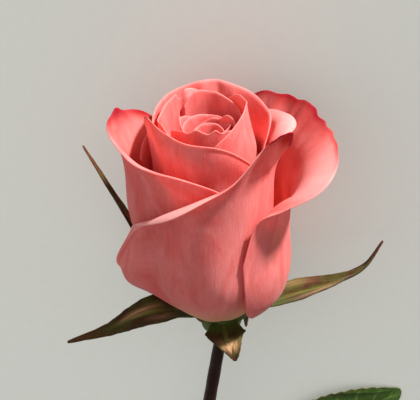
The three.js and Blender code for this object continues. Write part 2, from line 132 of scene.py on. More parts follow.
def throat_at(layer):
    return THROAT_RADIUS + THROAT_STEP * (layer - 1) + (HEART_GAP if layer > HEART_LAYERS else 0)


def sway_at(height):
    above = max(0.0, height - seat_height(1)) / SWAY_HEIGHT
    return SWAY * (1 - min(1.0, above)) ** 2


def body_radius(layer, height):
    """The nested body the petals of one layer follow: a rounded belly, then a throat."""
    seat = SEAT_RADIUS + SEAT_STEP * layer
    belly = BELLY_RADIUS + BELLY_STEP * layer
    if height < BELLY_HEIGHT:
        x = max(0.0, (height - seat_height(layer)) / (BELLY_HEIGHT - seat_height(layer)))
        return seat + (belly - seat) * (1 - (1 - x) ** BELLY_ROUNDNESS) ** (1 / BELLY_ROUNDNESS)
    x = min(1.0, (height - BELLY_HEIGHT) / (THROAT_HEIGHT - BELLY_HEIGHT))
    return belly + (throat_at(layer) - belly) * smooth(x)


SHORTEST_BODY = 2  # a rib follows the body at least this far
FLARE_PULL = 0.42  # share of a flare's length over which its ends keep their direction
FLATTEST_LIP = 0.01  # below this, no lip is made


def rib(layer, height, flare, lean, bend, lip, curl):
    """Points (radius, height) up one rib: along the body, out to the rim, and round its lip."""
    points = []
    start = seat_height(layer)
    turn = max(start + SHORTEST_BODY, height - bend)
    for i in range(RIB_STEPS + 1):
        h = start + (turn - start) * (i / RIB_STEPS) ** 2
        points.append((body_radius(layer, h), h))
    rim = body_radius(layer, height) + flare
    (r0, h0), (rb, hb) = points[-1], points[-2]
    step = math.hypot(r0 - rb, h0 - hb)
    reach = FLARE_PULL * math.hypot(rim - r0, height - h0)
    r1, h1 = r0 + (r0 - rb) / step * reach, h0 + (h0 - hb) / step * reach
    r2 = rim - math.sin(math.radians(lean)) * reach
    h2 = height - math.cos(math.radians(lean)) * reach
    for i in range(1, RIB_STEPS + 1):
        t = i / RIB_STEPS
        a, b, c, d = (1 - t) ** 3, 3 * t * (1 - t) ** 2, 3 * t * t * (1 - t), t**3
        points.append((a * r0 + b * r1 + c * r2 + d * rim, a * h0 + b * h1 + c * h2 + d * height))
    if lip > FLATTEST_LIP:
        r, h = points[-1]
        for i in range(LIP_STEPS):
            angle = math.radians(lean + curl * (i + 0.5) / LIP_STEPS)
            r += math.sin(angle) * lip / LIP_STEPS
            h += math.cos(angle) * lip / LIP_STEPS
            points.append((r, h))
    return points


def toward_rim(t):
    """Evenly spaced 0 to 1 made closer together near 1."""
    return 1 - (1 - t) ** RIM_CROWDING


def resample(points, rows):
    """The same line at rows + 1 points, closer together near the rim, and its length."""
    along = [0.0]
    for a, b in zip(points, points[1:]):
        along.append(along[-1] + math.hypot(b[0] - a[0], b[1] - a[1]))
    out = []
    k = 1
    for j in range(rows + 1):
        s = along[-1] * toward_rim(j / rows)
        while k < len(points) - 1 and along[k] < s:
            k += 1
        f = min(1.0, (s - along[k - 1]) / (along[k] - along[k - 1]))
        out.append([points[k - 1][n] + (points[k][n] - points[k - 1][n]) * f for n in (0, 1)])
    return out, along[-1]


# ------------------------------------------------------------------ petals
# ribs: [azimuth, rim height, flare, lean, bend, lip, curl] across the petal. Flare is how far the
# rim stands out from the body, lean the degrees it tips out there, and bend how far below the rim
# that starts. Lip is how far the edge rolls on past the rim, and curl the degrees it turns through.
# ruffle: mm the rim waves up and down, and in and out, as two numbers.
# peaks: [across, half width, mm the rim rises]; frills: [across, half width, mm in and out, waves].
# dents: [across, along, half width across, half width along, mm pushed outwards].
# marks: [kind, across, along, half width across, half width along, strength] of a colour; a pale
# mark is painted highlight.
# Across runs 0 to 1 between the edges, along 0 to 1 from foot to rim.
BEND, LIP, CURL = 12, 0.5, 50  # of a petal that stands up straight


def upright(azimuth, height, flare, lean):
    """A rib with a plain rim."""
    return [azimuth, height, flare, lean, BEND, LIP, CURL]


def cupped(layer, centre, half_spread, height, drop, flare=0.0, lean=5.0, lip=LIP, curl=CURL):
    """A petal the same on both sides of its centre, its rim lower towards its edges."""
    return {
        "layer": layer,
        "ribs": [
            [centre + half_spread * u, height - drop * u * u, flare, lean, BEND, lip, curl]
            for u in (-1, -0.6, 0, 0.6, 1)
        ],
    }


def waver(x, seed):
    """A smooth irregular wave between about -1 and 1."""
    slow = math.sin(x * 9.1 + seed)
    faster = 0.7 * math.sin(x * 17.3 + seed * 2.3)
    fastest = 0.5 * math.sin(x * 31.7 + seed * 0.7)
    return (slow + faster + fastest) / 1.8


RUFFLE = (0.2, 0.15)  # of a petal that gives none
FRILL_FOOT, FRILL_REACH = 0.72, 0.28  # where frills begin along a petal, and the rest of the way


def petal_grid(shape, columns, rows):
    """The petal's middle surface: lines of points up its ribs, and each one's share that is lip."""
    layer, ribs = shape["layer"], shape["ribs"]
    centre = (ribs[0][0] + ribs[-1][0]) / 2
    rise, sweep = shape.get("ruffle", RUFFLE)
    grid = []
    lips = []
    for j in range(columns + 1):
        u = j / columns
        azimuth, height, flare, lean, bend, lip, curl = (
            through([r[n] for r in ribs], u) for n in range(7)
        )
        height += rise * waver(u, layer)
        height += sum(up * hill(u, across, wide) for across, wide, up in shape.get("peaks", ()))
        flare += sweep * waver(u, layer * 3.1)
        frill = sum(
            out * hill(u, across, wide) * math.sin(2 * math.pi * waves * u)
            for across, wide, out, waves in shape.get("frills", ())
        )
        points, length = resample(rib(layer, height, flare, lean, bend, max(0.0, lip), curl), rows)
        lips.append(lip / length)
        line = []
        for i, (radius, h) in enumerate(points):
            v = toward_rim(i / rows)
            widening = math.sin(math.pi / 2 * min(1.0, v / CLAW_LENGTH))
            share = CLAW_SHARE + (1 - CLAW_SHARE) * widening
            a = math.radians(centre + (azimuth - centre) * share)
            for across, along, wide, deep, push in shape.get("dents", ()):
                radius += push * hill(u, across, wide) * hill(v, along, deep)
            radius += frill * smooth((v - FRILL_FOOT) / FRILL_REACH)
            line.append((radius * math.sin(a) + sway_at(h), -radius * math.cos(a), h))
        grid.append(line)
    return grid, lips


PETAL_SHAPES = {
    "heart_petal_1": cupped(1, 200, 130, 55, 1),
    "heart_petal_2": cupped(2, 20, 110, 57, 2),
    "heart_petal_3": cupped(3, 175, 105, 57.4, 1.5, 0.3),
    "heart_petal_4": {
        "layer": 4,
        "ribs": [
            upright(-20, 56.5, 0, 5),
            upright(20, 57.8, 0, 5),
            upright(60, 58.6, 0.4, 5),
            upright(92, 58.7, 0.9, 5),
            upright(118, 58, 0.8, 5),
            upright(140, 56.6, 0.3, 5),
        ],
    },
    "heart_petal_5": cupped(5, -30, 75, 58, 2),
    "heart_petal_6": {
        "layer": 6,
        "ribs": [
            upright(35, 57, 0, 5),
            upright(65, 58.6, 0.1, 5),
            upright(95, 59.5, 0, 5),
            upright(128, 59.9, -0.45, 5),
            upright(150, 58.4, -0.45, 5),
            upright(170, 58.1, -0.45, 5),
            upright(195, 56.4, -0.45, 5),
            upright(225, 54.4, -0.45, 5),
        ],
    },
    "heart_petal_7": cupped(7, -160, 80, 59, 2, -0.8),
    "heart_petal_8": cupped(8, -95, 55, 60.8, 3, -1.2),
    "inner_petal_front": {
        "layer": 9,
        "ribs": [
            upright(-82, 58.0, -0.5, 0),
            upright(-62, 60.3, 0, 0),
            upright(-36, 61.6, 0.3, 0),
            upright(-8, 62, 0.3, 0),
            upright(20, 61.8, 0.3, 0),
            upright(44, 61.5, 0, 0),
            upright(64, 60.5, 0, 0),
        ],
        "peaks": [
            [0.45, 0.06, 0.8],
            [0.6, 0.04, 0.8],
            [0.36, 0.05, -0.4],
            [0.54, 0.03, -0.4],
            [0.66, 0.04, -0.5],
        ],
    },
    "inner_petal_back_right": {
        "layer": 10,
        "ribs": [
            [90, 58.5, -2.2, -5, 14, 0.5, 50],
            [112, 60.0, -2.0, 0, 14, 0.5, 50],
            [132, 61.0, -1.2, 5, 14, 0.5, 50],
            [152, 62.3, -0.4, 6, 12, 0.5, 50],
            [174, 63.6, 0.2, 6, 12, 0.5, 50],
            [196, 64.0, 0.3, 6, 12, 0.5, 50],
            [214, 60, 0.2, 6, 12, 0.5, 50],
        ],
    },
    "inner_petal_back_left": {
        "layer": 11,
        "ribs": [
            [-185, 61, 0, 0, 12, 0.4, 50],
            [-160, 64.5, 0.5, 8, 12, 0.4, 50],
            [-132, 63.6, 0.9, 8, 12, 0.4, 50],
            [-103, 60.8, 1, 5, 12, 0.4, 50],
            [-70, 61.6, 0.8, 0, 12, 0.4, 50],
            [-45, 58, 0, 0, 12, 0.6, 50],
        ],
        "peaks": [[0.31, 0.05, -2.4], [0.42, 0.1, -0.6]],
        "dents": [[0.2, 0.93, 0.09, 0.07, -1.0], [0.31, 0.95, 0.05, 0.09, 0.6]],
        # the pale mark is painted highlight on the bump near the rim that catches the light
        "marks": [["pale", 0.23, 0.95, 0.1, 0.1, 0.9]],
    },
    "inner_petal_right": {
        "layer": 12,
        "ribs": [
            [-5, 56, 0.6, 0, 14, 0.5, 50],
            [10, 60, 0, -5, 14, 0.5, 60],
            [40, 63.6, -1.9, -10, 18, 0.5, 70],
            [75, 65.6, -3.2, -10, 20, 0.5, 70],
            [110, 64.6, -2.9, -5, 20, 0.5, 60],
            [140, 63.6, -1.6, 0, 18, 0.5, 50],
            [160, 60, -0.6, 5, 14, 0.5, 50],
        ],
    },
    "back_petal_high": {
        "layer": 13,
        "ruffle": (0.3, 0.3),
        "dents": [
            [0.53, 0.95, 0.03, 0.08, 0.8],
            [0.59, 0.95, 0.03, 0.08, -0.7],
            [0.46, 0.95, 0.04, 0.07, -0.5],
        ],
        "ribs": [
            [62, 50, 0.2, 0, 12, 0.5, 50],
            [88, 58.5, 1.6, 15, 12, 1.0, 60],
            [118, 60.8, 2.6, 20, 12, 1.0, 60],
            [146, 63.4, 2.2, 20, 12, 1.0, 70],
            [180, 64.6, 1.7, 12, 12, 0.8, 70],
            [214, 63.2, 1.7, 8, 12, 0.8, 60],
            [246, 60.6, 1.3, 0, 12, 0.8, 60],
            [272, 57, 0.2, 0, 12, 0.6, 50],
        ],
    },
    "front_petal_high": {
        "layer": 14,
        "ribs": [
            [-94, 57, 1, 0, 12, 0.6, 50],
            [-70, 64.6, 1.5, 10, 12, 1.0, 70],
            [-45, 62.9, 1, -5, 12, 0.8, 80],
            [-20, 61.2, 1, -8, 12, 0.8, 90],
            [8, 60, 1, -8, 12, 0.8, 90],
            [36, 54.5, 1, -3, 12, 0.8, 80],
            [60, 46, 0.2, 0, 12, 0.6, 50],
        ],
        "marks": [["tip", 0.17, 1.0, 0.05, 0.03, 0.9], ["blush", 0.24, 1.0, 0.08, 0.02, 0.5]],
    },
    "right_petal_inner": {
        "layer": 15,
        "ribs": [
            [38, 48, 0.3, 10, 14, 0.5, 40],
            [60, 56, 2.2, 30, 14, 1.0, 60],
            [85, 60.3, 5.6, 100, 14, 1.8, 60],
            [110, 58.7, 5.4, 90, 14, 1.4, 60],
            [135, 56, 3.0, 40, 14, 1.0, 60],
            [155, 50, 0.3, 10, 14, 0.6, 50],
        ],
        # the pale mark is painted highlight over the face near the rim where the light falls
        "marks": [["pale", 0.45, 0.95, 0.6, 0.3, 0.5]],
    },
    "back_petal_left_inner": cupped(16, -155, 62, 55, 7, 1, 15, 1.2, 60),
    "left_petal": {
        "layer": 17,
        "ribs": [
            [-140, 52, 0.4, 15, 14, 0.6, 50],
            [-119, 59, 3.2, 15, 18, 0.6, 40],
            [-98, 61.2, 7, 25, 22, 0.8, 40],
            [-80, 59.6, 8, 35, 24, 1.0, 60],
            [-64, 54.6, 4.2, 40, 18, 1.6, 90],
            [-43, 53.2, 2, 15, 10, 1.6, 110],
            [-21, 52.8, 1.6, 5, 10, 1.4, 110],
            [3, 49.7, 1.4, 0, 10, 1.0, 90],
            [22, 44, 0.8, 0, 10, 0.6, 50],
        ],
        "peaks": [[0.232, 0.03, 1.6]],
        "dents": [[0.32, 0.62, 0.3, 0.42, 4.8], [0.25, 0.9, 0.035, 0.14, 0.8]],
        "marks": [
            ["tip", 0.235, 1.0, 0.06, 0.09, 1.0],
            ["tip", 0.3, 1.0, 0.06, 0.03, 0.8],
            ["tip", 0.12, 1.0, 0.12, 0.025, 0.7],
            ["blush", 0.12, 1.0, 0.18, 0.06, 1.0],
            ["blush", 0.3, 1.0, 0.14, 0.06, 0.7],
        ],
    },
    "back_petal_right": {
        "layer": 18,
        "ribs": [
            [112, 42, 0.3, 10, 14, 0.6, 50],
            [140, 48, 2, 40, 16, 1.0, 60],
            [168, 51, 5, 75, 18, 0.4, 60],
            [198, 48, 5, 60, 18, 0.4, 60],
            [228, 42, 0.8, 20, 14, 0.6, 50],
        ],
    },
    "front_petal": {
        "layer": 19,
        "ribs": [
            [-112, 7.5, 5, 40, 6, 0.4, 30],
            [-101, 9.8, 8.6, 40, 8, 0.6, 30],
            [-89, 16, 8.4, 20, 14, 0.8, 30],
            [-75, 28, 3.4, -14, 24, 1.2, 90],
            [-60, 34.5, 2.6, -5, 28, 2.4, 120],
            [-43, 39.8, 2.2, 60, 7, 3.0, 80],
            [-24, 45.3, 2.8, 75, 7, 3.9, 60],
            [-5, 49.8, 3.2, 60, 8, 2.4, 60],
            [13, 53.2, 3.2, 35, 9, 1.2, 60],
            [28.5, 59.6, 3.6, 30, 11, 0.6, 50],
            [38.5, 62.8, 4.2, 30, 12, 0.6, 50],
            [47, 66, 7.6, 45, 16, 0.8, 40],
            [56, 59.5, 4.6, 40, 14, 0.5, 40],
        ],
        "dents": [[0.14, 0.55, 0.24, 0.42, 4.2], [0.62, 0.4, 0.2, 0.42, 2.2]],
        "frills": [[0.88, 0.12, 0.35, 26]],
        "marks": [
            ["tip", 0.9, 1.0, 0.11, 0.05, 1.0],
            ["blush", 0.93, 0.97, 0.07, 0.1, 1.0],
            ["tip", 0.99, 1.0, 0.06, 0.04, 1.0],
            ["blush", 0.84, 1.0, 0.1, 0.03, 1.0],
            ["blush", 0.92, 1.0, 0.1, 0.12, 0.45],
            # this pale mark is painted highlight on the rolled lip, where the light falls
            ["pale", 0.42, 1.0, 0.22, 0.07, 0.9],
        ],
    },
    "back_petal_left": {
        "layer": 20,
        "ribs": [
            [164, 36, 0.4, 10, 14, 0.6, 50],
            [181, 42, 4, 60, 18, 0.4, 60],
            [200, 44, 6, 85, 20, 0.4, 60],
            [218, 40, 4, 50, 18, 1.0, 60],
            [235, 32, 0.4, 0, 12, 0.6, 50],
        ],
    },
    "right_petal": {
        "layer": 21,
        "ribs": [
            [21, 26, 0.4, 0, 10, 0.5, 50],
            [32, 39, 0.4, 10, 10, 0.8, 60],
            [45, 43.5, 5, 110, 14, 0.4, 20],
            [57, 47.5, 11, 95, 20, 0.4, 20],
            [70, 51, 12.8, 85, 24, 0.4, 20],
            [88, 53.6, 11.6, 70, 26, 0.4, 30],
            [104, 55.8, 10, 55, 26, 0.4, 40],
            [120, 57.4, 8.6, 40, 26, 0.4, 50],
            [138, 58.2, 6.3, 30, 24, 0.4, 50],
            [158, 55, 4.4, 15, 20, 0.6, 40],
        ],
        "peaks": [[0.75, 0.07, 1.6], [0.84, 0.05, 0.5], [0.93, 0.06, 1.0]],
        "frills": [[0.68, 0.24, 0.5, 17], [0.8, 0.16, 0.35, 31]],
        "dents": [[0.875, 0.9, 0.03, 0.16, -1.2], [0.83, 0.92, 0.03, 0.14, 0.8]],
        "marks": [
            ["tip", 0.7, 1.0, 0.13, 0.035, 1.0],
            ["tip", 0.84, 1.0, 0.09, 0.025, 1.0],
            ["tip", 0.94, 1.0, 0.08, 0.02, 1.0],
            ["blush", 0.72, 1.0, 0.24, 0.16, 0.8],
            ["blush", 0.86, 1.0, 0.12, 0.08, 0.6],
            ["blush", 0.96, 1.0, 0.09, 0.05, 0.8],
            ["blush", 0.53, 1.0, 0.12, 0.025, 0.8],
            ["claw", 0.3, 0.66, 0.1, 0.1, 0.12],
            # this pale mark is painted highlight on the outfolded flare, where the light falls
            ["pale", 0.4, 0.9, 0.22, 0.25, 0.6],
        ],
    },
    "back_petal_low": {
        "layer": 22,
        "ribs": [
            [140, 27, 0.2, 0, 12, 0.6, 50],
            [160, 35, 5.2, 70, 16, 0.2, 40],
            [182, 38, 3.4, 60, 16, 0.4, 50],
            [204, 36, 5.2, 70, 16, 0.2, 40],
            [226, 27, 0.2, 0, 12, 0.6, 50],
        ],
    },
}


def finish_piece(piece, node, material):
    """Names a piece after the node it replaces, and gives it its material."""
    piece.name = node + "_shown"
    piece.data.name = piece.name
    piece.data.materials.clear()
    piece.data.materials.append(material)
    bpy.ops.object.shade_smooth()
    piece.select_set(False)
    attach(piece, "root")
    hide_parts(node)


def thicken(piece, thickness):
    """Gives a sheet its thickness and rounds it off."""
    solid = piece.modifiers.new("thickness", "SOLIDIFY")
    solid.thickness = thickness * MM
    solid.offset = 0
    soft = piece.modifiers.new("soft", "SUBSURF")
    soft.levels = soft.render_levels = 1
    bpy.context.view_layer.objects.active = piece
    for modifier in list(piece.modifiers):
        bpy.ops.object.modifier_apply(modifier=modifier.name)


def add_marks(amounts, marks, across, along):
    """Adds to the amount of each colour at one point what the marks give it."""
    for kind, at_across, at_along, wide, deep, strength in marks:
        amounts[kind] += strength * hill(across, at_across, wide) * hill(along, at_along, deep)
    return amounts


def make_sheet(node, point_at, size, thickness, kinds, amounts, material):
    """A thin blade: point_at(across, along) shapes it, amounts(across, along) colours it, and
    size is its columns and rows."""
    columns, rows = size
    bpy.ops.mesh.primitive_grid_add(x_subdivisions=columns, y_subdivisions=rows, size=1)
    piece = bpy.context.object
    mesh = piece.data
    for kind in kinds:
        mesh.attributes.new(kind, "FLOAT", "POINT")
    for vertex in mesh.vertices:
        u, v = vertex.co.x + 0.5, vertex.co.y + 0.5
        vertex.co = point_at(u, v)
        for kind, amount in amounts(u, v).items():
            mesh.attributes[kind].data[vertex.index].value = max(0.0, min(1.0, amount))
    thicken(piece, thickness)
    finish_piece(piece, node, material)


EDGE_HIGHLIGHT, LIP_HIGHLIGHT = 0.25, 0.75  # how much painted highlight lightens the very edge of a petal and a rolled lip
CLAW_TINT = 0.35  # how far up a petal the claw's colour reaches


def rim_painted_highlight(along, lip):
    """Painted highlight: a hairline at the edge, and the lip where it is more than a fiftieth of
    the petal.
    """
    edge = EDGE_HIGHLIGHT * smooth((along - 0.985) / 0.012)
    rolled = smooth((along - 1 + lip * 1.3) / (lip * 0.5)) * smooth(lip / 0.02 - 1)
    return max(edge, LIP_HIGHLIGHT * rolled)


def make_petal(node, shape, material):
    """One petal, from its foot on the hip to the lip it rolls at its rim."""
    size = PETAL_MESH if shape["layer"] > HEART_LAYERS else HEART_MESH
    columns, rows = size
    grid, lips = petal_grid(shape, columns, rows)

    def point_at(u, v):
        return lay(*grid[round(u * columns)][round(v * rows)])

    def amounts(u, v):
        along = toward_rim(round(v * rows) / rows)
        found = {
            # pale holds painted highlight: the edge and the rolled lip, lightened where they catch
            # the light
            "pale": rim_painted_highlight(along, lips[round(u * columns)]),
            "claw": smooth(1 - along / CLAW_TINT),
            "blush": 0.0,
            "tip": 0.0,
        }
        return add_marks(found, shape.get("marks", ()), u, along)

    kinds = ("pale", "blush", "tip", "claw")
    make_sheet(node, point_at, size, PETAL_THICKNESS, kinds, amounts, material)


# ------------------------------------------------------------------ hip, stem and prickles
def ring_and_turn(vertex, rings):
    """Which ring of a ball a vertex is on, counted from its top, and how far round it."""
    ring = round(math.acos(max(-1.0, min(1.0, vertex.co.z))) / math.pi * rings)
    return ring, math.atan2(vertex.co.y, vertex.co.x)


def make_bar(node, line, profile, segments, material):
    """A closed round stalk along a line: profile gives (share of the line, radius) from end to
    end."""
    rings = len(profile) - 1
    bpy.ops.mesh.primitive_uv_sphere_add(segments=segments, ring_count=rings, radius=1)
    piece = bpy.context.object
    cut = piece.data.attributes.new("cut", "FLOAT", "POINT")
    for vertex in piece.data.vertices:
        ring, turn = ring_and_turn(vertex, rings)
        share, radius = profile[ring]
        ahead = line(min(1.0, share + 0.01)) - line(max(0.0, share - 0.01))
        aside = ahead.cross(lay(0, 1, 0) - lay(0, 0, 0)).normalized()
        up = aside.cross(ahead).normalized()
        if ring in (0, rings):
            radius = 0
        place = line(share) + aside * (radius * math.cos(turn) * MM)
        vertex.co = place + up * (radius * math.sin(turn) * MM)
        cut.data[vertex.index].value = 1.0 if ring >= rings - CUT_RINGS + 1 else 0.0
    finish_piece(piece, node, material)


DOME_FOOT = SEAT_RADIUS + SEAT_STEP * PETALS
HIP_TOP = seat_height(1) - HIP_DROP
HIP_PROFILE = [
    [0, -HIP_HEIGHT],
    [STEM_RADIUS * 1.05, -HIP_HEIGHT],
    [HIP_RADIUS * 0.45, -HIP_HEIGHT * 0.93],
    [HIP_RADIUS * 0.66, -HIP_HEIGHT * 0.83],
    [HIP_RADIUS * 0.93, -HIP_HEIGHT * 0.62],
    [HIP_RADIUS, -HIP_HEIGHT * 0.42],
    [HIP_RADIUS * 1.05, -HIP_HEIGHT * 0.28],
    [DOME_FOOT, -2],
    [DOME_FOOT, -HIP_DROP],
    [SEAT_RADIUS + SEAT_STEP, HIP_TOP],
    [0, HIP_TOP],
]


def make_hip(material):
    """A round cup, faintly lobed under the five sepals, with a dome that seats the petals."""
    rings, segments = 40, 60
    bpy.ops.mesh.primitive_uv_sphere_add(segments=segments, ring_count=rings, radius=1)
    piece = bpy.context.object
    for vertex in piece.data.vertices:
        ring, turn = ring_and_turn(vertex, rings)
        radius, height = (through([p[n] for p in HIP_PROFILE], 1 - ring / rings) for n in (0, 1))
        lobes = 1 + 0.02 * math.cos(5 * turn) * smooth(radius / HIP_RADIUS)
        radius = max(0.0, radius) * lobes if 0 < ring < rings else 0
        vertex.co = lay(SWAY + radius * math.cos(turn), radius * math.sin(turn), height)
    finish_piece(piece, "hip", material)


STEM_LINE = [
    (SWAY - drop, 0, -HIP_HEIGHT - GAP - STEM_LENGTH * share)
    for share, drop in ((0, 0), (0.25, 5.5), (0.5, 9.5), (0.75, 12), (1, 13))
]
LEAF_SHARE = LEAF_DISTANCE / STEM_LENGTH
PRICKLES = [(0.3, -60), (0.42, 75), (0.55, -20), (0.7, 35), (0.86, -95)]  # share, azimuth
PRICKLE_SINK = 0.45  # how deep a prickle's foot sits in the stem
PRICKLE_RADIUS, PRICKLE_POINT = 1.15, 0.07  # at its foot and its point
PRICKLE_RISE, PRICKLE_DROP = 0.9, 3.6  # how far its foot stands up the stem, and its hook falls
PRICKLE_STEPS = 16
STALK_EDGE = 0.0015  # share of a stalk's length that its rounded edge takes


def stem_radius(share):
    """Tapers up to the hip, swells into it, and is thicker at the leaf's node."""
    taper = STEM_RADIUS + (STEM_END_RADIUS - STEM_RADIUS) * share
    wander = 0.05 * waver(share * 3, 4) + 0.03 * waver(share * 11, 9)
    neck = 0.25 * hill(share, 0, 0.03)
    node = 0.45 * hill(share, LEAF_SHARE + 0.01, 0.025)
    return taper * 0.98 + wander + neck + node


def stem_at(share):
    return lay(*point_through(STEM_LINE, share))


def bar_profile(radius, steps, edge=0.12):
    """Ends rounded over `edge` of the radius, and evenly spaced rings between them."""
    shares = [i / steps for i in range(steps + 1)]
    body = [(share, radius(share)) for share in shares]
    start = [(0, 0), (0, radius(0) * 0.55), (0, radius(0) * (1 - edge))]
    end = [(1, radius(1) * (1 - edge)), (1, radius(1) * 0.55), (1, 0)]
    body[0] = (STALK_EDGE, body[0][1])
    body[-1] = (1 - STALK_EDGE, body[-1][1])
    return start + body + end


def make_prickle(number, share, azimuth, material):
    """A flattened hook that points down the stem, on a long oval foot."""
    out = outward(azimuth)
    root = point_through(STEM_LINE, share) + out * (stem_radius(share) - PRICKLE_SINK)
    reach = PRICKLE_LENGTH * 0.86

    def line(t):
        hook = Vector((0, 0, PRICKLE_RISE - PRICKLE_DROP * t * t))
        return lay(*(root + out * reach * t + hook))

    def radius_at(t):
        foot = 1 + 0.35 * smooth(1 - t / 0.2)
        return PRICKLE_RADIUS * (1 - t) ** 0.9 * foot + PRICKLE_POINT

    shares = [i / PRICKLE_STEPS for i in range(PRICKLE_STEPS + 1)]
    profile = [(0, 0)] + [(t, radius_at(t)) for t in shares] + [(1, 0)]
    long_way = lay(0, 0, 1) - lay(0, 0, 0)
    rings = len(profile) - 1
    bpy.ops.mesh.primitive_uv_sphere_add(segments=20, ring_count=rings, radius=1)
    piece = bpy.context.object
    tip = piece.data.attributes.new("tip", "FLOAT", "POINT")
    for vertex in piece.data.vertices:
        ring, turn = ring_and_turn(vertex, rings)
        t, radius = profile[ring]
        ahead = (line(min(1.0, t + 0.02)) - line(max(0.0, t - 0.02))).normalized()
        aside = ahead.cross(long_way).normalized()
        up = aside.cross(ahead).normalized()
        foot = smooth(1 - t / 0.45)
        wide, deep = 0.75 + 0.25 * foot, 1.15 + 1.25 * foot
        place = line(t) + aside * (radius * wide * 0.7 * math.cos(turn) * MM)
        vertex.co = place + up * (radius * deep * math.sin(turn) * MM)
        tip.data[vertex.index].value = t
    finish_piece(piece, "prickle_%d" % number, material)


# ------------------------------------------------------------------ sepals
# line: [distance out from the foot, height, drift to one side] from foot to tip; turn: degrees it
# twists; fold: share of its width that its edges rise; marks: as for a petal.
SEPALS = {
    "sepal_right": {
        "azimuth": 97,
        "line": [[0, -1.4], [10, 0.4], [20.5, 2.7], [27.5, 4.8], [35, 8.7], [40, 17.3]],
        "turn": -20,
        "width": 12.5,
        "fold": 0.15,
        "marks": [
            ["tan", 0.2, 0.45, 0.25, 0.25, 0.8],
            ["tan", 0.9, 0.3, 0.2, 0.2, 0.3],
            ["dry", 0.5, 1, 1, 0.3, 1],
        ],
    },
    "sepal_left": {
        "azimuth": -80,
        "line": [[0, -1.4], [6.2, 0.6], [12.6, 0.6], [19, -1.3], [25.5, -3.7], [37.5, -6.2]],
        "turn": -50,
        "width": 12.5,
        "fold": 0.12,
        "marks": [
            ["tan", 0.35, 0.5, 0.18, 0.3, 0.9],
            ["tan", 0.75, 0.3, 0.2, 0.2, 0.4],
            ["dry", 0.5, 1, 1, 0.3, 1],
        ],
    },
    "sepal_front": {
        "azimuth": 5,
        "line": [
            [0, -1.4], [3, -1.6], [6, -1.9], [8.5, -2.8, 0.8], [10, -4.4, 1.6], [10.4, -6.4, 2],
        ],
        "turn": 10,
        "width": 12,
        "fold": 0.1,
        "marks": [["tan", 0.5, 0.6, 0.6, 0.25, 1], ["dry", 0.5, 1, 1, 0.22, 1]],
    },
    "sepal_back_left": {
        "azimuth": -126,
        "line": [
            [0, -1.3], [8, -1.2], [15, 3.2], [19, 12, 1],
            [22.3, 21.5, 3.5], [28, 32.6, 5.6], [34.6, 44.3, 7.2],
        ],
        "turn": 12,
        "width": 7,
        "fold": 0.25,
        "marks": [["tan", 0.3, 0.6, 0.4, 0.3, 0.5], ["dry", 0.5, 1, 1, 0.25, 1]],
    },
    "sepal_back_right": {
        "azimuth": 150,
        "line": [[0, -1.4], [3, -3], [5, -7], [6.5, -12.5], [7.5, -18]],
        "turn": 10,
        "width": 8,
        "fold": 0.25,
        "marks": [["tan", 0.5, 0.6, 0.5, 0.25, 0.6], ["dry", 0.5, 1, 1, 0.25, 1]],
    },
}


def make_sepal(node, azimuth, line, turn, width, fold, marks, material):
    """A narrow blade, widest near its foot, with a rib down its middle and an uneven edge."""
    out = outward(azimuth)
    aside = Vector((-out.y, out.x, 0))
    foot = DOME_FOOT + GAP + SEPAL_THICKNESS / 2
    points = []
    for distance, height, *drift in line:
        points.append(Vector((SWAY, 0, height)) + out * (foot + distance) + aside * sum(drift))
    points[0] -= out * (GAP + SEPAL_THICKNESS)

    def point_at(u, v):
        centre = point_through(points, v)
        before, after = max(0, v - 0.02), min(1, v + 0.02)
        ahead = (point_through(points, after) - point_through(points, before)).normalized()
        across = Matrix.Rotation(math.radians(turn * smooth(v)), 3, ahead) @ aside
        up = ahead.cross(across).normalized()
        side = 2 * u - 1
        # widest three tenths of the way along, then narrowing to its tip
        swell = 0.62 + 1.27 * v if v < 0.3 else 1 - ((v - 0.3) / 0.7) ** 0.85 * 0.95
        half = width / 2 * swell
        teeth = 0.12 * abs(side) ** 3 * waver(v * 5, azimuth + 2 * side) * smooth(4 - 4 * v)
        rib = 0.35 * hill(side, 0, 0.22) * (1 - v)
        buckle = 0.18 * waver(v * 2 + side, azimuth) * smooth(v * 4)
        rise = 2 * fold * half * side * side - rib + buckle
        place = centre + across * (half * side + teeth * (1 if side > 0 else -1)) + up * rise
        return lay(*place)

    def amounts(u, v):
        rib = hill(u, 0.5, 0.1) * (1 - v)
        found = {"tan": 0.0, "dry": 0.0, "rib": rib, "foot": smooth(1 - v / 0.3)}
        return add_marks(found, marks, u, v)

    kinds = ("tan", "dry", "rib", "foot")
    make_sheet(node, point_at, SEPAL_MESH, SEPAL_THICKNESS, kinds, amounts, material)


# ------------------------------------------------------------------ leaf
LEAF_ROOT = stem_at(LEAF_SHARE) / MM
LEAF_ROOT.y -= STEM_RADIUS + (STEM_END_RADIUS - STEM_RADIUS) * LEAF_SHARE + PETIOLE_RADIUS + GAP
PETIOLE_LINE = [
    LEAF_ROOT,
    Vector((LEAF_ROOT.x + 11, LEAF_ROOT.y - 6.5, 4.6)),
    Vector((LEAF_ROOT.x + 25.5, LEAF_ROOT.y - 14.5, 2.8)),
    Vector((LEAF_ROOT.x + 37.5, LEAF_ROOT.y - 25.8, 1.9)),
]
# [share of the petiole, heading, length]: headings in degrees from +X, turning left
LEAFLETS = [(1, -60, 1), (0.72, 32, 0.74), (0.72, -112, 0.76), (0.36, 50, 0.58), (0.36, -126, 0.58)]
TEETH = 15  # on each side of a leaflet
SIDE_VEINS = 7
LEAFLET_FOOT, LEAFLET_FLOOR = 0.25, 0.22  # the least height its middle and any of it lie at
LEAFLET_STALK = 0.7  # how far its blade runs back along its stalk
SIDE_STALK = 0.4  # how much longer a side leaflet's stalk is


def petiole_at(share):
    return point_through(PETIOLE_LINE, share) * MM


def petiole_radius(share):
    """Tapers to its end, and swells where it leaves the stem."""
    return PETIOLE_RADIUS * (1 - 0.3 * share) + 0.35 * hill(share, 0, 0.08)


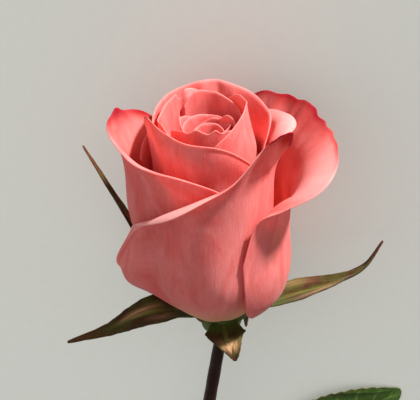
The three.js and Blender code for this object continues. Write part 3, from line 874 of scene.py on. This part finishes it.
def make_leaflet(number, share, heading, size, material):
    """A serrated oval blade that comes down from the petiole to lie on the ground."""
    length, width = LEAFLET_LENGTH * size, LEAFLET_WIDTH * size
    ahead = Vector((math.cos(math.radians(heading)), math.sin(math.radians(heading)), 0))
    across = Vector((-ahead.y, ahead.x, 0))
    start = point_through(PETIOLE_LINE, share)
    stalk = PETIOLE_RADIUS + GAP + (SIDE_STALK if share < 1 else 0) - LEAFLET_STALK

    def vein(u, v):
        """1 on the midrib and the side veins, which lean towards the tip."""
        side = abs(2 * u - 1)
        phase = (v - 0.16 * side) * SIDE_VEINS - 0.3
        off = abs(phase - round(phase)) / SIDE_VEINS * length
        fade = smooth((0.97 - side) * 6) * smooth(phase + 0.8)
        return max(smooth(1 - off / 0.75) * fade * 0.8, smooth(1 - side * width / 1.6))

    def point_at(u, v):
        side = 2 * u - 1
        outline = math.sin(math.pi * v**0.8) ** 0.8 if 0 < v < 1 else 0.0
        half = 0.45 + width / 2 * outline * (1 - 0.1 * v)
        tooth = (v * TEETH) % 1
        near_edge = smooth((abs(side) - 0.75) * 4)
        half += 0.055 * width / 2 * (tooth - 0.5) * min(1.0, outline * 2) * near_edge
        height = LEAFLET_FOOT + (start.z - LEAFLET_FOOT) * (1 - smooth(min(1.0, v * 1.3)))
        height += half * 0.16 * abs(side) + 0.9 * math.sin(math.pi * v)
        height += 0.35 * abs(side) * outline * waver(v * 1.6 + side, number * 2.0)
        height -= 0.22 * vein(u, v) * outline
        place = start + ahead * (stalk + (length + LEAFLET_STALK) * v) + across * (half * side)
        return Vector((place.x, place.y, max(height, LEAFLET_FLOOR))) * MM

    def amounts(u, v):
        return {"vein": vein(u, v), "edge": smooth((abs(2 * u - 1) - 0.86) / 0.14)}

    node, kinds = "leaflet_%d" % number, ("vein", "edge")
    make_sheet(node, point_at, LEAFLET_MESH, LEAFLET_THICKNESS, kinds, amounts, material)


# ------------------------------------------------------------------ materials
def linear(hex_colour):
    """An sRGB hex colour as linear RGBA."""
    parts = [int(hex_colour[i : i + 2], 16) / 255 for i in (1, 3, 5)]
    return [p / 12.92 if p <= 0.04045 else ((p + 0.055) / 1.055) ** 2.4 for p in parts] + [1]


def new_material(name):
    material = bpy.data.materials.new(name)
    material.use_nodes = True
    material.node_tree.nodes.clear()
    return material


def add(material, kind, inputs=None, **settings):
    """Adds a node: settings are its own, inputs its sockets' values or what links to them, where a
    node stands for its first output."""
    node = material.node_tree.nodes.new(kind)
    for key, value in settings.items():
        setattr(node, key, value)
    for key, value in (inputs or {}).items():
        if isinstance(value, bpy.types.Node):
            value = value.outputs[0]
        if isinstance(value, bpy.types.NodeSocket):
            material.node_tree.links.new(value, node.inputs[key])
        else:
            node.inputs[key].default_value = value
    return node


def petal_tissue():
    """Rose petal: a thin, half translucent, velvety skin with fine veins fanning from the claw."""
    m = new_material("rose_petal_coral")
    uv = add(m, "ShaderNodeUVMap")
    place = add(m, "ShaderNodeTexCoord").outputs["Object"]
    # the veins stand 0.2 mm apart on the heart's petals to 0.6 mm on the widest, and run about
    # 9 mm before they fork
    stretch = add(m, "ShaderNodeMapping", {"Vector": uv, "Scale": (105, 7, 1)})
    veins = add(
        m, "ShaderNodeTexNoise", {"Vector": stretch, "Scale": 1, "Detail": 5, "Distortion": 1.1}
    )
    # paler and deeper patches run with the veins, 2 to 7 mm wide and about 15 mm long
    drift = add(m, "ShaderNodeMapping", {"Vector": uv, "Scale": (9, 4, 1)})
    cloudy = add(
        m,
        "ShaderNodeTexNoise",
        {"Vector": drift, "Scale": 1, "Detail": 6, "Roughness": 0.65, "Distortion": 0.8},
    )
    patches = add(m, "ShaderNodeMapRange", {0: cloudy, 1: 0.3, 2: 0.7, 3: 0, 4: 1})
    # the velvet's grain is 0.4 mm, coarser than the real one so that it shows
    grain = add(m, "ShaderNodeTexNoise", {"Vector": place, "Scale": 2500, "Detail": 2})
    tone = add(
        m,
        "ShaderNodeMix",
        {0: patches, 6: linear("#EC7470"), 7: linear("#FA9E9A")},
        data_type="RGBA",
    ).outputs[2]
    light = add(m, "ShaderNodeMapRange", {0: veins, 1: 0.3, 2: 0.7, 3: 0.93, 4: 1.06})
    grey = add(m, "ShaderNodeCombineColor", {0: light, 1: light, 2: light})
    tone = add(
        m, "ShaderNodeMix", {0: 1.0, 6: tone, 7: grey}, data_type="RGBA", blend_type="MULTIPLY"
    ).outputs[2]
    # the claw is cream, pale is painted highlight on the very edge, the rolled lips and the lit
    # spots marked on some petals, and the sun has flushed the outer rims and tips
    flushes = {"claw": "#E9CF8E", "pale": "#FFC2BE", "blush": "#B81A16", "tip": "#A60E2E"}
    for kind, colour in flushes.items():
        amount = add(m, "ShaderNodeAttribute", attribute_name=kind).outputs["Fac"]
        tone = add(
            m, "ShaderNodeMix", {0: amount, 6: tone, 7: linear(colour)}, data_type="RGBA"
        ).outputs[2]
    relief = add(m, "ShaderNodeMath", {0: veins, 1: grain}, operation="ADD")
    bump = add(
        m, "ShaderNodeBump", {"Height": relief, "Strength": 0.5, "Distance": 0.00014}
    )
    skin = add(
        m,
        "ShaderNodeBsdfPrincipled",
        {
            "Base Color": tone,
            "Roughness": 0.62,
            "IOR": 1.4,
            "Specular IOR Level": 0.25,
            "Sheen Weight": 0.1,
            "Sheen Roughness": 0.35,
            "Normal": bump,
        },
    )
    # light that has passed through comes out warmer
    warm = add(
        m, "ShaderNodeMix", {0: 0.4, 6: tone, 7: linear("#FF8A62")}, data_type="RGBA"
    ).outputs[2]
    glow = add(m, "ShaderNodeBsdfTranslucent", {"Color": warm, "Normal": bump})
    both = add(m, "ShaderNodeMixShader", {0: 0.4, 1: skin, 2: glow})
    add(m, "ShaderNodeOutputMaterial", {"Surface": both})
    return m


def waxy_skin(name, base, flush, flush_reach, speck, streak, roughness):
    """A grown stalk or cup: waxy skin streaked along its length, with a flush over its base colour
    that comes in patches, and small pale breathing pores. The cut end shows pale pith. Streak is
    the number of fibres round the skin, and flush_reach where the flush fades, low to high."""
    m = new_material(name)
    uv = add(m, "ShaderNodeUVMap")
    place = add(m, "ShaderNodeTexCoord").outputs["Object"]
    # patches of flush are 8 to 15 mm across
    patches = add(m, "ShaderNodeTexNoise", {"Vector": place, "Scale": 90, "Detail": 4})
    low, high = flush_reach
    reach = add(m, "ShaderNodeMapRange", {0: patches, 1: low, 2: high, 3: 1, 4: 0})
    tone = add(
        m, "ShaderNodeMix", {0: reach, 6: linear(base), 7: linear(flush)}, data_type="RGBA"
    ).outputs[2]
    # fibres run along, 0.2 mm apart on the petiole to 0.6 mm on the hip
    fibres = add(m, "ShaderNodeMapping", {"Vector": uv, "Scale": (streak, 7, 1)})
    lines = add(m, "ShaderNodeTexNoise", {"Vector": fibres, "Scale": 1, "Detail": 3})
    light = add(m, "ShaderNodeMapRange", {0: lines, 1: 0.3, 2: 0.7, 3: 0.78, 4: 1.2})
    grey = add(m, "ShaderNodeCombineColor", {0: light, 1: light, 2: light})
    tone = add(
        m, "ShaderNodeMix", {0: 1.0, 6: tone, 7: grey}, data_type="RGBA", blend_type="MULTIPLY"
    ).outputs[2]
    # pores 0.4 mm across stand about 2 mm apart
    pores = add(m, "ShaderNodeTexVoronoi", {"Vector": place, "Scale": 480}).outputs["Distance"]
    dots = add(m, "ShaderNodeMapRange", {0: pores, 1: 0.06, 2: 0.13, 3: 0.5, 4: 0})
    tone = add(
        m, "ShaderNodeMix", {0: dots, 6: tone, 7: linear(speck)}, data_type="RGBA"
    ).outputs[2]
    cut = add(m, "ShaderNodeAttribute", attribute_name="cut").outputs["Fac"]
    tone = add(
        m, "ShaderNodeMix", {0: cut, 6: tone, 7: linear("#C9CB9A")}, data_type="RGBA"
    ).outputs[2]
    relief = add(m, "ShaderNodeMath", {0: lines, 1: dots}, operation="ADD")
    bump = add(
        m, "ShaderNodeBump", {"Height": relief, "Strength": 0.5, "Distance": 0.00015}
    )
    skin = add(
        m,
        "ShaderNodeBsdfPrincipled",
        {
            "Base Color": tone,
            "Roughness": roughness,
            "IOR": 1.45,
            "Specular IOR Level": 0.2,
            "Coat Weight": 0.05,
            "Coat Roughness": 0.3,
            "Normal": bump,
        },
    )
    add(m, "ShaderNodeOutputMaterial", {"Surface": skin})
    return m


def prickle_horn():
    """Prickle: smooth dry horn, red-brown at its foot and straw-coloured at its point."""
    m = new_material("rose_prickle_horn")
    place = add(m, "ShaderNodeTexCoord").outputs["Object"]
    fine = add(m, "ShaderNodeTexNoise", {"Vector": place, "Scale": 900, "Detail": 3})
    tone = add(
        m, "ShaderNodeMix", {0: fine, 6: linear("#5A1F16"), 7: linear("#8A4030")}, data_type="RGBA"
    ).outputs[2]
    point = add(m, "ShaderNodeAttribute", attribute_name="tip").outputs["Fac"]
    dry = add(m, "ShaderNodeMapRange", {0: point, 1: 0.55, 2: 1, 3: 0, 4: 1})
    tone = add(
        m, "ShaderNodeMix", {0: dry, 6: tone, 7: linear("#C08A50")}, data_type="RGBA"
    ).outputs[2]
    bump = add(
        m, "ShaderNodeBump", {"Height": fine, "Strength": 0.3, "Distance": 0.0001}
    )
    skin = add(
        m,
        "ShaderNodeBsdfPrincipled",
        {"Base Color": tone, "Roughness": 0.4, "IOR": 1.5, "Normal": bump},
    )
    add(m, "ShaderNodeOutputMaterial", {"Surface": skin})
    return m


def sepal_leafy():
    """Sepal: a matte leafy blade, green at its foot, olive to brown along it, bleached tan where
    it has dried, with lines along its length and a faint down of hair that gives a sheen."""
    m = new_material("rose_sepal_olive")
    uv = add(m, "ShaderNodeUVMap")
    place = add(m, "ShaderNodeTexCoord").outputs["Object"]
    # lines about 0.6 mm apart run a third of the blade's length before they fork
    along = add(m, "ShaderNodeMapping", {"Vector": uv, "Scale": (18, 3.2, 1)})
    lines = add(
        m, "ShaderNodeTexNoise", {"Vector": along, "Scale": 1, "Detail": 5, "Distortion": 0.5}
    )
    patches = add(m, "ShaderNodeTexNoise", {"Vector": place, "Scale": 230, "Detail": 5})
    brown = add(m, "ShaderNodeMapRange", {0: patches, 1: 0.4, 2: 0.6, 3: 0, 4: 1})
    tone = add(
        m, "ShaderNodeMix", {0: brown, 6: linear("#45450C"), 7: linear("#432206")}, data_type="RGBA"
    ).outputs[2]
    spread = add(m, "ShaderNodeMapRange", {0: lines, 1: 0.35, 2: 0.6, 3: 0.35, 4: 1.3})
    zones = {"foot": "#52691C", "tan": "#C0926A", "rib": "#7A7A2E", "dry": "#6A3A22"}
    for kind, colour in zones.items():
        amount = add(m, "ShaderNodeAttribute", attribute_name=kind).outputs["Fac"]
        uneven = add(
            m, "ShaderNodeMath", {0: amount, 1: spread}, operation="MULTIPLY", use_clamp=True
        )
        tone = add(
            m, "ShaderNodeMix", {0: uneven, 6: tone, 7: linear(colour)}, data_type="RGBA"
        ).outputs[2]
    grain = add(m, "ShaderNodeTexNoise", {"Vector": place, "Scale": 2200, "Detail": 2})
    relief = add(m, "ShaderNodeMath", {0: lines, 1: grain}, operation="ADD")
    bump = add(
        m, "ShaderNodeBump", {"Height": relief, "Strength": 0.6, "Distance": 0.0003}
    )
    skin = add(
        m,
        "ShaderNodeBsdfPrincipled",
        {
            "Base Color": tone,
            "Roughness": 0.65,
            "IOR": 1.45,
            "Specular IOR Level": 0.3,
            "Sheen Weight": 0.15,
            "Sheen Roughness": 0.4,
            "Normal": bump,
        },
    )
    glow = add(m, "ShaderNodeBsdfTranslucent", {"Color": tone, "Normal": bump})
    both = add(m, "ShaderNodeMixShader", {0: 0.12, 1: skin, 2: glow})
    add(m, "ShaderNodeOutputMaterial", {"Surface": both})
    return m


def leaf_blade():
    """Rose leaf: a leathery blade, dark and waxy above, paler and matte below, with sunken veins
    and a thin reddish margin."""
    m = new_material("rose_leaf_green")
    place = add(m, "ShaderNodeTexCoord").outputs["Object"]
    facing = add(m, "ShaderNodeNewGeometry").outputs["Normal"]
    up = add(m, "ShaderNodeSeparateXYZ", {0: facing}).outputs["Z"]
    under = add(m, "ShaderNodeMapRange", {0: up, 1: -0.1, 2: 0.1, 3: 1, 4: 0})
    cloudy = add(m, "ShaderNodeTexNoise", {"Vector": place, "Scale": 120, "Detail": 5})
    # the net of the smallest veins has cells about 1.5 mm across
    net = add(
        m, "ShaderNodeTexVoronoi", {"Vector": place, "Scale": 650}, feature="DISTANCE_TO_EDGE"
    ).outputs["Distance"]
    thread = add(m, "ShaderNodeMapRange", {0: net, 1: 0.02, 2: 0.12, 3: 0.35, 4: 0})
    tone = add(
        m,
        "ShaderNodeMix",
        {0: cloudy, 6: linear("#22360B"), 7: linear("#3C5A18")},
        data_type="RGBA",
    ).outputs[2]
    for amount, colour in ((thread, "#4E6B26"), (under, "#6E8452")):
        tone = add(
            m, "ShaderNodeMix", {0: amount, 6: tone, 7: linear(colour)}, data_type="RGBA"
        ).outputs[2]
    for kind, colour in (("vein", "#6F8A3C"), ("edge", "#4A3A18")):
        amount = add(m, "ShaderNodeAttribute", attribute_name=kind).outputs["Fac"]
        part = add(m, "ShaderNodeMath", {0: amount, 1: 0.6}, operation="MULTIPLY")
        tone = add(
            m, "ShaderNodeMix", {0: part, 6: tone, 7: linear(colour)}, data_type="RGBA"
        ).outputs[2]
    roughness = add(m, "ShaderNodeMapRange", {0: under, 1: 0, 2: 1, 3: 0.38, 4: 0.7})
    bump = add(
        m, "ShaderNodeBump", {"Height": thread, "Strength": 0.5, "Distance": 0.00015}, invert=True
    )
    skin = add(
        m,
        "ShaderNodeBsdfPrincipled",
        {"Base Color": tone, "Roughness": roughness, "IOR": 1.45, "Normal": bump},
    )
    glow = add(m, "ShaderNodeBsdfTranslucent", {"Color": tone})
    both = add(m, "ShaderNodeMixShader", {0: 0.1, 1: skin, 2: glow})
    add(m, "ShaderNodeOutputMaterial", {"Surface": both})
    return m


def backdrop_paper():
    """Matte paper with a barely seen fibre."""
    m = new_material("backdrop_paper")
    place = add(m, "ShaderNodeTexCoord").outputs["Object"]
    fibre = add(m, "ShaderNodeTexNoise", {"Vector": place, "Scale": 400, "Detail": 4})
    tone = add(
        m, "ShaderNodeMix", {0: fibre, 6: linear("#C6C7C0"), 7: linear("#CACBC4")}, data_type="RGBA"
    ).outputs[2]
    # it glows a little, as paper lit from behind does, so that shadows on it stay faint
    skin = add(
        m,
        "ShaderNodeBsdfPrincipled",
        {"Base Color": tone, "Roughness": 0.95, "Emission Color": tone, "Emission Strength": 0.4},
    )
    add(m, "ShaderNodeOutputMaterial", {"Surface": skin})
    return m


# ------------------------------------------------------------------ the rose
petal_skin = petal_tissue()
for petal_name, petal_shape in PETAL_SHAPES.items():
    make_petal(petal_name, petal_shape, petal_skin)

make_hip(waxy_skin("rose_hip_wax", "#4A5A1E", "#5E3A1C", (0.35, 0.55), "#8A9150", 60, 0.45))
sepal_skin = sepal_leafy()
for sepal_name, sepal_shape in SEPALS.items():
    make_sepal(sepal_name, material=sepal_skin, **sepal_shape)

stem_skin = waxy_skin("rose_stem_maroon", "#2C240C", "#240403", (0.5, 0.75), "#6A4A2A", 40, 0.45)
make_bar("stem", stem_at, bar_profile(stem_radius, 180), 40, stem_skin)
horn = prickle_horn()
for number, (share, azimuth) in enumerate(PRICKLES, 1):
    make_prickle(number, share, azimuth, horn)

petiole_skin = waxy_skin(
    "rose_petiole_green", "#4E6422", "#5A2A1A", (0.35, 0.6), "#8A9A50", 24, 0.45
)
make_bar("petiole", petiole_at, bar_profile(petiole_radius, 60), 20, petiole_skin)
leaf_skin = leaf_blade()
for number, (share, heading, size) in enumerate(LEAFLETS, 1):
    make_leaflet(number, share, heading, size, leaf_skin)

# ------------------------------------------------------------------ floor, light and camera
bpy.ops.mesh.primitive_plane_add(size=6, location=(0, 0, 0))
floor = bpy.context.object
floor.name = "floor"
floor.data.materials.append(backdrop_paper())

# The camera stands in front of the bloom's face and above it, in the bloom's own frame.
LOOK_UP = math.radians(30)  # how far round from the face towards the bloom's top
ROLL = math.radians(1.5)
LENS, SENSOR = 100, 36
DISTANCE, LIGHT_DISTANCE = 327, 900  # from the target
TARGET = (-0.14, 0, 36)


def aim(direction, up, target, distance):
    """The place of a camera or light that looks back along `direction` at the target."""
    turn = LAY.to_3x3()
    z = (turn @ Vector(direction)).normalized()
    x = (turn @ Vector(up)).cross(z).normalized()
    y = z.cross(x)
    matrix = Matrix((x, y, z)).transposed().to_4x4()
    matrix.translation = lay(*target) + z * distance * MM
    return matrix


camera_data = bpy.data.cameras.new("camera")
camera_data.lens = LENS
camera_data.sensor_width = SENSOR
camera_data.clip_start = 0.01
camera = bpy.data.objects.new("camera", camera_data)
bpy.context.scene.collection.objects.link(camera)
camera.matrix_world = aim(
    (0, -math.cos(LOOK_UP), math.sin(LOOK_UP)),
    (math.sin(ROLL), math.cos(ROLL) * math.sin(LOOK_UP), math.cos(ROLL) * math.cos(LOOK_UP)),
    TARGET,
    DISTANCE,
)
bpy.context.scene.camera = camera


def softbox(name, direction, size, power, colour):
    """A square light of a size in metres and a power in watts, set back from the bloom."""
    data = bpy.data.lights.new(name, "AREA")
    data.shape = "SQUARE"
    data.size = size
    data.energy = power
    data.color = colour
    light = bpy.data.objects.new(name, data)
    bpy.context.scene.collection.objects.link(light)
    light.matrix_world = aim(direction, (0.1, 0.3, 1), TARGET, LIGHT_DISTANCE)
    return light


def lights_floor(light, state):
    """Keeps a light to the floor or off it, as a backdrop set well behind has its own light."""
    group = bpy.data.collections.new(light.name + "_and_floor")
    group.objects.link(floor)
    light.light_linking.receiver_collection = group
    group.collection_objects[0].light_linking.link_state = state


lights_floor(softbox("key", (0.54, -0.09, 0.84), 0.08, 20, (1, 0.96, 0.94)), "EXCLUDE")
lights_floor(softbox("backdrop", (-0.2, -1, 0.25), 1.6, 1.5, (1, 0.995, 0.98)), "INCLUDE")
softbox("fill", (-0.5, -0.9, 0.3), 1.4, 3.4, (0.97, 0.98, 1))

world = bpy.data.worlds.new("studio")
world.use_nodes = True
sky = world.node_tree.nodes["Background"]
sky.inputs["Color"].default_value = linear("#E6E7E4")
sky.inputs["Strength"].default_value = 0.34
bpy.context.scene.world = world
bpy.context.scene.view_settings.view_transform = "Standard"
